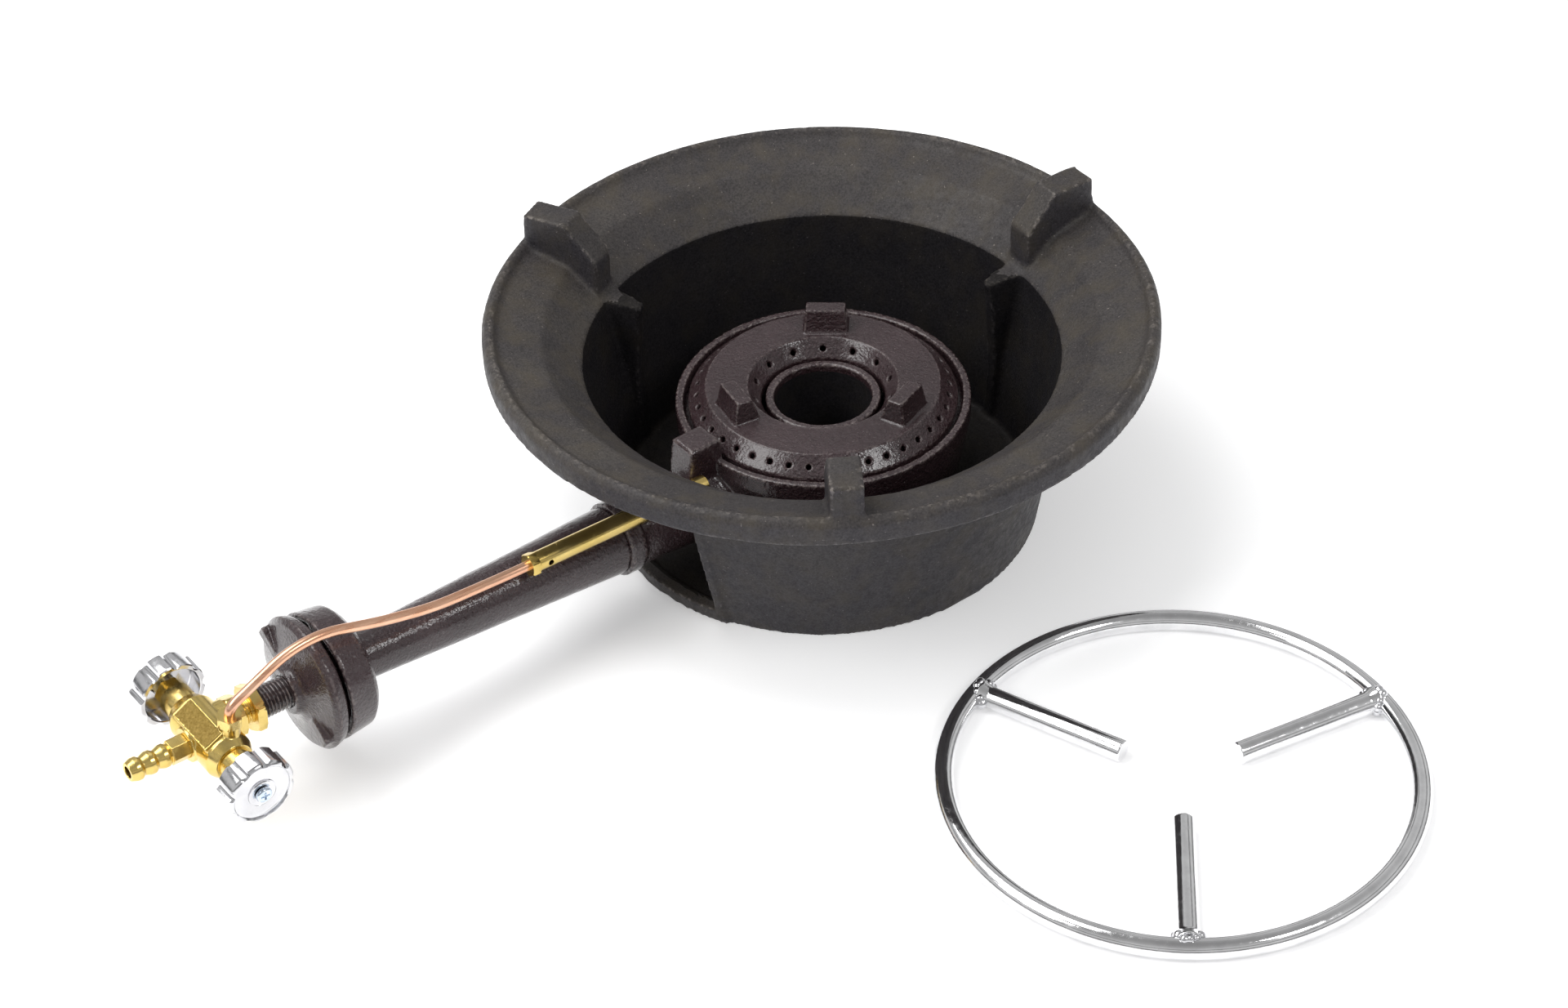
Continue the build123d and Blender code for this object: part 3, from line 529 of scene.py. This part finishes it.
def blacken_inside(piece):
    # The wall below the throat and the floor of the drum are near black: part soot, part painted shade of
    # the deep inside.
    mesh = piece.data
    mesh.materials.append(SOOT_AND_SHADE)
    for face in mesh.polygons:
        place = face.center
        radius = sqrt(place.x ** 2 + place.y ** 2)
        wall = WALL_BASE_RADIUS + (WALL_THROAT_RADIUS - WALL_BASE_RADIUS) * place.z / THROAT_HEIGHT
        if place.z < THROAT_HEIGHT and radius < wall + WALL_MARGIN and place.z > FLOOR_TOP - WALL_MARGIN:
            face.material_index = 1


def blacken_bore(piece):
    # The inward faces of the chimney's bore get the darker iron, from a little under its lip.
    mesh = piece.data
    mesh.materials.append(SOOT_AND_SHADE)
    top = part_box("burner_chimney")[1][2]
    for face in mesh.polygons:
        place = face.center
        facing_axis = place.x * face.normal.x + place.y * face.normal.y < 0
        if facing_axis and place.z < top - CHIMNEY_LIP and place.xy.length < CHIMNEY_RADIUS:
            face.material_index = 1


# Mixing tube and valve lines, as in the construction model
TUBE_RISE = radians(2.6)
TUBE_AXIS_HEIGHT = 37.1 * MM
VALVE_STATION = 368.2 * MM
VALVE_TURN = radians(3.7)
VALVE_FRONT = 27.1 * MM
VALVE_BACK = 15.3 * MM
TUBE_DIRECTION = Vector((-cos(TUBE_RISE), 0, sin(TUBE_RISE)))
TUBE_UP = Vector((sin(TUBE_RISE), 0, cos(TUBE_RISE)))
TUBE_FRONT = Vector((0, -1, 0))
TUBE_ORIGIN = Vector((0, 0, TUBE_AXIS_HEIGHT))
VALVE_AXIS = TUBE_FRONT * cos(VALVE_TURN) - TUBE_UP * sin(VALVE_TURN)
VALVE_CENTRE = TUBE_ORIGIN + TUBE_DIRECTION * VALVE_STATION


def frame_matrix(origin, x_axis, z_axis):
    y_axis = z_axis.cross(x_axis)
    axes = Matrix((x_axis, y_axis, z_axis)).transposed()
    return Matrix.Translation(origin) @ axes.to_4x4()


TUBE_FRAME = frame_matrix(TUBE_ORIGIN, TUBE_FRONT, TUBE_DIRECTION)
VALVE_FRAME = frame_matrix(VALVE_CENTRE, -TUBE_DIRECTION, VALVE_AXIS)
FRONT_SET = VALVE_FRAME @ Matrix.Translation((0, 0, VALVE_FRONT))
BACK_SET = VALVE_FRAME @ Matrix.Translation((0, 0, -VALVE_BACK)) @ Matrix.Rotation(pi, 4, "X")

# The valve's flat plate, in millimetres: matt, a little sunk and darker, inside a plain border
PAD_SHIFT = 6.0
PAD_TILT = radians(28.5)
PAD_HEIGHT = 13.2
PAD_SKIN = 1.0
PAD_HALF_LENGTH = 14.7
PAD_HALF_WIDTH = 5.8
PAD_BORDER = 0.9
PAD_DEPTH = 0.25


def etch_pad(piece):
    mesh = piece.data
    mesh.materials.append(ETCHED)
    pad = VALVE_FRAME @ Matrix.Translation((0, 0, PAD_SHIFT * MM)) @ Matrix.Rotation(PAD_TILT, 4, "Z")
    to_pad = pad.inverted()
    sunk = set()
    for face in mesh.polygons:
        place = to_pad @ face.center / MM
        inside = abs(place.x) < PAD_HALF_WIDTH - PAD_BORDER and abs(place.z) < PAD_HALF_LENGTH - PAD_BORDER
        if inside and place.y > PAD_HEIGHT - PAD_SKIN:
            face.material_index = 1
            sunk.update(face.vertices)
    inward = pad.to_3x3() @ Vector((0, -PAD_DEPTH * MM, 0))
    for index in sunk:
        mesh.vertices[index].co += inward
    mesh.update()


# Pieces built from rings of points, in millimetres
SMOOTH_ANGLE = 35.0


def ring_at(radius_at, segments, height):
    # One closed ring, whose radius is a function of the angle.
    angles = [2 * pi * index / segments for index in range(segments)]
    return [(radius_at(angle) * cos(angle), radius_at(angle) * sin(angle), height) for angle in angles]


def grid_mesh(name, rows, place):
    # A tube of point rows, each a closed ring, capped at both ends.
    made = bmesh.new()
    rings = [[made.verts.new(place @ (Vector(point) * MM)) for point in row] for row in rows]
    for first, second in zip(rings, rings[1:]):
        count = len(first)
        for index in range(count):
            after = (index + 1) % count
            made.faces.new((first[index], first[after], second[after], second[index]))
    made.faces.new(list(reversed(rings[0])))
    made.faces.new(rings[-1])
    bmesh.ops.recalc_face_normals(made, faces=made.faces)
    mesh = bpy.data.meshes.new(name)
    made.to_mesh(mesh)
    made.free()
    return mesh


def soften(mesh, angle):
    # Smooth shading between faces that meet at less than the angle, in degrees.
    mesh.shade_smooth()
    made = bmesh.new()
    made.from_mesh(mesh)
    for edge in made.edges:
        if len(edge.link_faces) == 2 and edge.calc_face_angle() > radians(angle):
            edge.smooth = False
    made.to_mesh(mesh)
    made.free()


def add_piece(name, mesh, node, material=None):
    piece = bpy.data.objects.new(name, mesh)
    bpy.context.scene.collection.objects.link(piece)
    dress(piece, node, material)
    return piece


def own_piece(name, rows, place, node, material=None, angle=SMOOTH_ANGLE, hides=True):
    mesh = grid_mesh(name, rows, place)
    soften(mesh, angle)
    piece = add_piece(name, mesh, node, material)
    if hides:
        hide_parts(node)


THREAD_SEGMENTS = 56
THREAD_STEPS = 7
THREAD_STEEPNESS = 1.5
THREAD_VALLEY_SHARE = 0.2
THREAD_ANGLE = 60.0


def thread_rows(valley, crest, pitch, start, end):
    # A screw thread: the radius rises and falls once a pitch, and the phase turns with the angle.
    rows = []
    count = int((end - start) / pitch * THREAD_STEPS)
    for row in range(count + 1):
        height = start + (end - start) * row / count
        near_end = min(1.0, (height - start) / pitch, (end - height) / pitch)

        def radius_at(angle):
            phase = (height / pitch - angle / (2 * pi)) % 1.0
            rise = 1.0 - abs(2.0 * phase - 1.0)
            rise = min(1.0, max(0.0, rise * THREAD_STEEPNESS - THREAD_VALLEY_SHARE))
            return valley + (crest - valley) * rise * near_end

        rows.append(ring_at(radius_at, THREAD_SEGMENTS, height))
    return rows


HEXAGON_SEGMENTS = 72
CHAMFER_SLOPE = 0.6
END_FACE_SHARE = 0.5


def hexagon_rows(flats, start, end, chamfer):
    # A hexagon whose corners are turned off at both ends. Each station is a height and a greatest radius.
    apothem = flats / 2
    corner = apothem / cos(pi / 6)
    stations = (
        (start, apothem * END_FACE_SHARE),
        (start, corner - chamfer),
        (start + chamfer * CHAMFER_SLOPE, corner),
        (end - chamfer * CHAMFER_SLOPE, corner),
        (end, corner - chamfer),
        (end, apothem * END_FACE_SHARE),
    )
    rows = []
    for height, limit in stations:
        def radius_at(angle):
            local = (angle + pi / 6) % (pi / 3) - pi / 6
            return min(apothem / cos(local), limit)

        rows.append(ring_at(radius_at, HEXAGON_SEGMENTS, height))
    return rows


# Knobs, in millimetres: the wheel's section, from the spindle's hole round the hollow back to the face
KNOB_RADIUS = 17.5
KNOB_LOBES = 9
KNOB_SEGMENTS = 270
KNOB_ANGLE = 28.0
FLUTE_CUTTER = 3.2
FLUTE_BITE = 1.5
# radius, height, share of the flute depth
KNOB_PROFILE = (
    (0.6, 18.9, 0), (3.1, 18.9, 0), (3.1, 17.9, 0), (4.9, 17.9, 0), (5.5, 18.4, 0), (5.5, 21.2, 0),
    (6.0, 21.7, 0), (14.2, 21.7, 0), (14.7, 21.2, 0), (14.7, 12.6, 0), (15.1, 12.2, 0), (17.0, 12.2, 1),
    (17.5, 12.7, 1), (17.5, 22.6, 1), (17.25, 23.5, 1), (16.6, 24.25, 0.8), (15.9, 24.7, 0.5),
    (15.2, 24.7, 0.1), (14.7, 24.3, 0), (14.5, 23.3, 0), (14.0, 23.1, 0), (12.0, 23.2, 0), (9.0, 23.45, 0),
    (7.4, 23.6, 0), (7.2, 24.3, 0), (6.6, 24.65, 0), (5.2, 24.65, 0), (4.7, 24.4, 0), (4.2, 24.35, 0),
    (0.6, 24.35, 0),
)


def flute_depth(angle):
    # How deep the round flute cutter bites at this angle.
    pitch = 2 * pi / KNOB_LOBES
    local = (angle + pitch / 2) % pitch - pitch / 2
    across = KNOB_RADIUS * abs(local)
    if across >= FLUTE_CUTTER:
        return 0.0
    return max(0.0, sqrt(FLUTE_CUTTER ** 2 - across ** 2) - (FLUTE_CUTTER - FLUTE_BITE))


def make_knob(node, place):
    rows = []
    for radius, height, share in KNOB_PROFILE:
        def radius_at(angle):
            return radius - share * flute_depth(angle)

        rows.append(ring_at(radius_at, KNOB_SEGMENTS, height))
    own_piece(node + "_body", rows, place, node, KNOB_CHROME, angle=KNOB_ANGLE)


# Threads and nuts of the valve line, in millimetres, by station along the tube
HOLDER_START = 295.0
HOLDER_END = 340.5
HOLDER_VALLEY = 6.9
HOLDER_CREST = 8.0
HOLDER_PITCH = 1.9
ADAPTER_HEX_END = 345.3
ADAPTER_END = 362.2
ADAPTER_FLATS = 22.0
ADAPTER_CHAMFER = 1.1
ADAPTER_VALLEY = 6.6
ADAPTER_CREST = 7.3
ADAPTER_PITCH = 1.4
LOCK_NUT_START = 350.0
LOCK_NUT_END = 356.0
LOCK_NUT_FLATS = 19.0
LOCK_NUT_CHAMFER = 0.9

# Pilot nuts, in millimetres: one stands on the valve, one closes the pilot burner beside the tube
PILOT_OUTLET = Vector((2.3, 0, 18.6))
PILOT_TURN = radians(4.0)
PILOT_NUT_START = 16.3
PILOT_NUT_END = 21.3
PILOT_NUT_FLATS = 11.0
PILOT_NUT_CHAMFER = 0.5
PILOT_LINE = Vector((13.9, 20.8, 0))
INLET_NUT_START = 190.0
INLET_NUT_END = 194.5
INLET_NUT_FLATS = 10.6
INLET_NUT_CHAMFER = 0.7


def make_valve_line():
    holder = thread_rows(HOLDER_VALLEY, HOLDER_CREST, HOLDER_PITCH, HOLDER_START, HOLDER_END)
    own_piece("holder_thread", holder, TUBE_FRAME, "nozzle_holder", angle=THREAD_ANGLE)
    adapter = hexagon_rows(ADAPTER_FLATS, HOLDER_END, ADAPTER_HEX_END, ADAPTER_CHAMFER)
    own_piece("adapter_nut", adapter, TUBE_FRAME, "outlet_adapter")
    thread = thread_rows(ADAPTER_VALLEY, ADAPTER_CREST, ADAPTER_PITCH, ADAPTER_HEX_END, ADAPTER_END)
    own_piece("adapter_thread", thread, TUBE_FRAME, "outlet_adapter", angle=THREAD_ANGLE, hides=False)
    lock_nut = hexagon_rows(LOCK_NUT_FLATS, LOCK_NUT_START, LOCK_NUT_END, LOCK_NUT_CHAMFER)
    own_piece("lock_nut_body", lock_nut, TUBE_FRAME, "lock_nut")


def make_pilot_nuts():
    upright = Vector((sin(PILOT_TURN), cos(PILOT_TURN), 0))
    outlet = VALVE_FRAME @ frame_matrix(PILOT_OUTLET * MM, Vector((0, 0, 1)), upright)
    pilot_nut = hexagon_rows(PILOT_NUT_FLATS, PILOT_NUT_START, PILOT_NUT_END, PILOT_NUT_CHAMFER)
    own_piece("pilot_nut_body", pilot_nut, outlet, "pilot_nut")
    beside_tube = TUBE_FRAME @ Matrix.Translation(PILOT_LINE * MM)
    inlet_nut = hexagon_rows(INLET_NUT_FLATS, INLET_NUT_START, INLET_NUT_END, INLET_NUT_CHAMFER)
    own_piece("pilot_inlet_body", inlet_nut, beside_tube, "pilot_inlet_nut")


# Wok ring, in millimetres: beads of weld where each spoke meets the hoop
RING_CENTRE = Vector((-7.4, -276.8, 5.2))
RING_RADIUS = 112.0
RING_ROD = 5.2
SPOKES = 3
SPOKE_ROD = 5.6
SPOKE_START = -11.5
WELD_DROPS = 13
WELD_RADIUS = 2.3
WELD_CHANGE = 0.18
WELD_CHANGE_RATE = 5.0
WELD_SUNK = 0.35
WELD_SPREAD = 1.06
WELD_LOWERED = 0.92
WELD_VOXEL = 0.45
WELD_ROUNDING = 2


def weld_drop(made, place, drop, number):
    # One drop of the seam, where the spoke's round side runs into the hoop.
    angle = 2 * pi * drop / WELD_DROPS
    side = SPOKE_ROD * cos(angle)
    above = SPOKE_ROD * sin(angle) + SPOKE_ROD - RING_ROD
    reach = sqrt(max(0.0, RING_ROD ** 2 - above ** 2))
    inward = RING_RADIUS * (1 - cos(asin(side / RING_RADIUS)))
    size = WELD_RADIUS * (1.0 + WELD_CHANGE * sin(WELD_CHANGE_RATE * drop + number))
    from_middle = RING_RADIUS - reach - inward - size * WELD_SUNK
    centre = Vector((from_middle, side * WELD_SPREAD, above * WELD_LOWERED))
    centre.z = max(centre.z, size - RING_ROD)
    spot = place @ Matrix.Translation(centre * MM)
    bmesh.ops.create_icosphere(made, subdivisions=3, radius=size * MM, matrix=spot)


def make_welds():
    for number in range(SPOKES):
        made = bmesh.new()
        turn = Matrix.Rotation(radians(SPOKE_START + 360 / SPOKES * number), 4, "Z")
        place = Matrix.Translation(RING_CENTRE * MM) @ turn
        for drop in range(WELD_DROPS):
            weld_drop(made, place, drop, number)
        mesh = bpy.data.meshes.new(f"weld_{number}")
        made.to_mesh(mesh)
        made.free()
        piece = add_piece(f"weld_{number}", mesh, "ring_spokes", WELD)
        remesh = piece.modifiers.new("remesh", "REMESH")
        remesh.mode = "VOXEL"
        remesh.voxel_size = WELD_VOXEL * MM
        smooth = piece.modifiers.new("smooth", "SMOOTH")
        smooth.iterations = WELD_ROUNDING
        applied(piece)
        piece.data.shade_smooth()


def cast_skins():
    stand = cast("stand_bowl", voxel=1.3, rounding=2, lumps=0.3, pits=0.5,
                 joined_to=("stand_drum",), keep=0.45)
    blacken_inside(stand)
    cast("burner_body", voxel=1.0, rounding=3, lumps=0.25, pits=0.3)
    blacken_bore(cast("burner_chimney", voxel=0.8, rounding=3, lumps=0.15, pits=0.2))
    cast("burner_cap", voxel=0.7, rounding=3, lumps=0.12, pits=0.12)
    cast("mixing_tube", voxel=0.9, rounding=3, lumps=0.2, pits=0.25)
    cast("air_shutter", voxel=0.7, rounding=4, lumps=0.15, pits=0.2)


def machined_skins():
    etch_pad(cast("valve_body", voxel=0.3, rounding=3))
    cast("hose_barb", voxel=0.22, rounding=3)
    for side in ("main", "pilot"):
        cast(f"{side}_bonnet", voxel=0.25, rounding=3)
        cast(f"{side}_knob_screw", voxel=0.14, rounding=2)
    cast("ring_spokes", voxel=0.5, rounding=2)
    for name in ("ring_hoop", "pilot_pipe", "pilot_burner"):
        frame["nodes"][name].data.shade_smooth()


make_camera()
make_floor()
make_world()
make_lamps()
paint_frame()
cast_skins()
machined_skins()
make_knob("pilot_knob", FRONT_SET)
make_knob("main_knob", BACK_SET)
make_valve_line()
make_pilot_nuts()
make_welds()

bpy.context.scene.view_settings.view_transform = "Standard"
